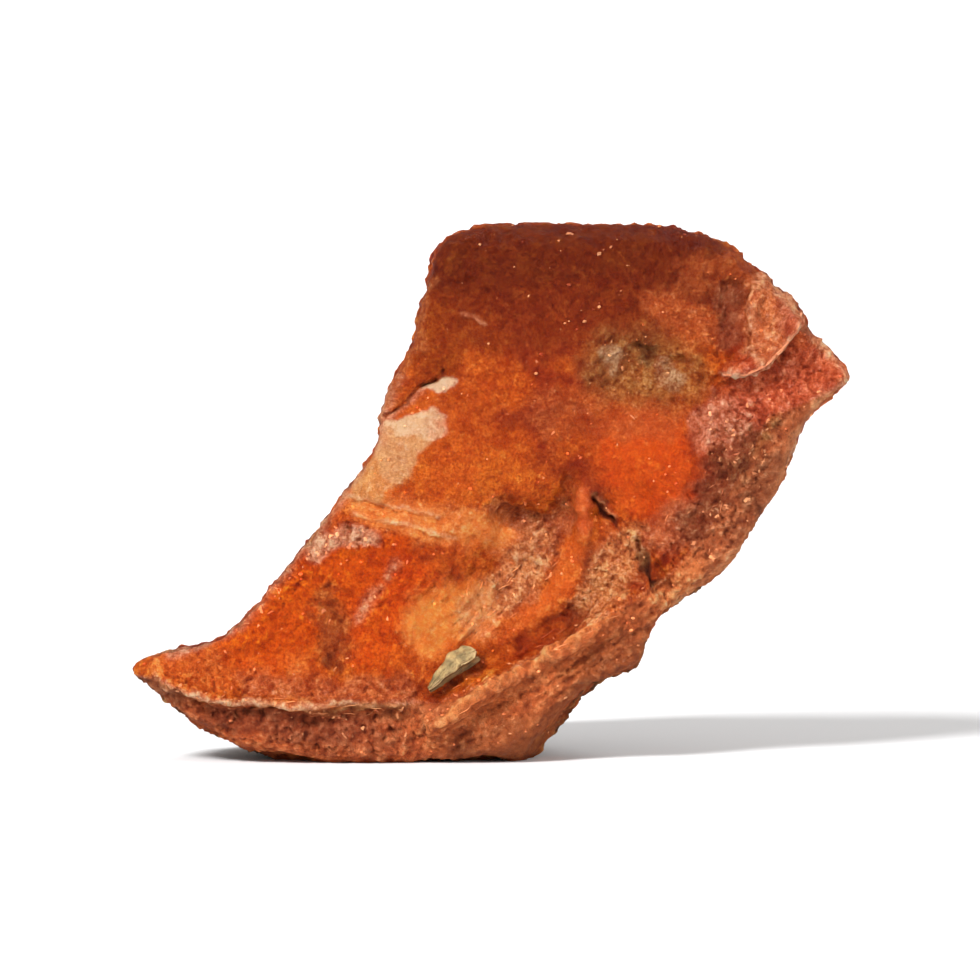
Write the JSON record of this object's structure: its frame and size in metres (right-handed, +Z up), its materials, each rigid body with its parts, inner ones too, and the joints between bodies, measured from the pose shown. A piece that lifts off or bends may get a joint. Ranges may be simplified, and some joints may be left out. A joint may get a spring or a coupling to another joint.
{
  "type": "dried bael fruit piece",
  "caption": "Chunk cut from a dried bael fruit: a long orange cut face edged with woody rind, a pointed horn at one end, seeds in the hidden cut, and a rough brown back.",
  "frame": {"origin": "middle of the piece's bounding box from above, on the plane of its flat spot", "axes": "+Z up; +X along the piece, away from the horn; +Y from the long cut face to the back of the rind"},
  "size_m": [0.0394, 0.0186, 0.0295],
  "materials": {
    "dried_bael": "dull gloss of dried gum on rough fibrous flesh, with a matt woody rind"
  },
  "bodies": {
    "root": {"bael_piece": "dried_bael"}
  },
  "joints": []
}
